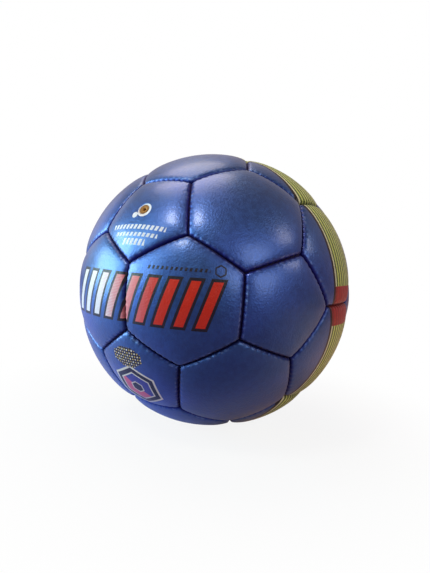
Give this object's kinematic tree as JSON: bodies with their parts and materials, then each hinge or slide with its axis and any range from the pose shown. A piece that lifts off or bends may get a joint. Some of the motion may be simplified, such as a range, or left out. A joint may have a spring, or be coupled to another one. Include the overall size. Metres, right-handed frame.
{
  "type": "handball",
  "caption": "Stitched match handball of pentagon and hexagon panels over an inflated bladder, with a pull-out needle valve.",
  "frame": {"origin": "centre of the ball", "axes": "+X, +Y and +Z each leave through the middle of a seam between two hexagons; the valve points along (0, -0.851, 0.526), up and to the front, and -Y is the front"},
  "size_m": [0.1868, 0.1868, 0.1868],
  "materials": {
    "skin": "pearl synthetic leather, fine grain",
    "foam": "closed-cell foam",
    "backing": "woven cloth",
    "thread": "waxed sewing thread",
    "bladder": "matt rubber",
    "valve_rubber": "amber rubber",
    "plug_rubber": "amber rubber"
  },
  "bodies": {
    "ball": {"panel_hex_01": "skin", "panel_hex_02": "skin", "panel_hex_03": "skin", "panel_hex_04": "skin", "panel_hex_05": "skin", "panel_hex_06": "skin", "panel_hex_07": "skin", "panel_hex_08": "skin", "panel_hex_09": "skin", "panel_hex_10": "skin", "panel_hex_11": "skin", "panel_hex_12": "skin", "panel_hex_13": "skin", "panel_hex_14": "skin", "panel_hex_15": "skin", "panel_hex_16": "skin", "panel_hex_17": "skin", "panel_hex_18": "skin", "panel_hex_19": "skin", "panel_hex_20": "skin", "panel_pent_01": "skin", "panel_pent_02": "skin", "panel_pent_03": "skin", "panel_pent_04": "skin", "panel_pent_05": "skin", "panel_pent_06": "skin", "panel_pent_07": "skin", "panel_pent_08": "skin", "panel_pent_09": "skin", "panel_pent_10": "skin", "panel_pent_11": "skin", "valve_panel": "skin", "foam_valve_half": "foam", "foam_far_half": "foam", "backing_valve_half": "backing", "backing_far_half": "backing", "thread_hex_seams": "thread", "thread_pent_seams": "thread", "bladder": "bladder", "valve_stem": "valve_rubber", "valve_patch": "backing", "balance_weight": "bladder"},
    "plug": {"valve_plug": "plug_rubber"}
  },
  "joints": [
    {"name": "plug_slide", "type": "slide", "parent": "ball", "child": "plug", "axis": [0, -0.8507, 0.5257], "range_m": [0, 0.02]}
  ]
}
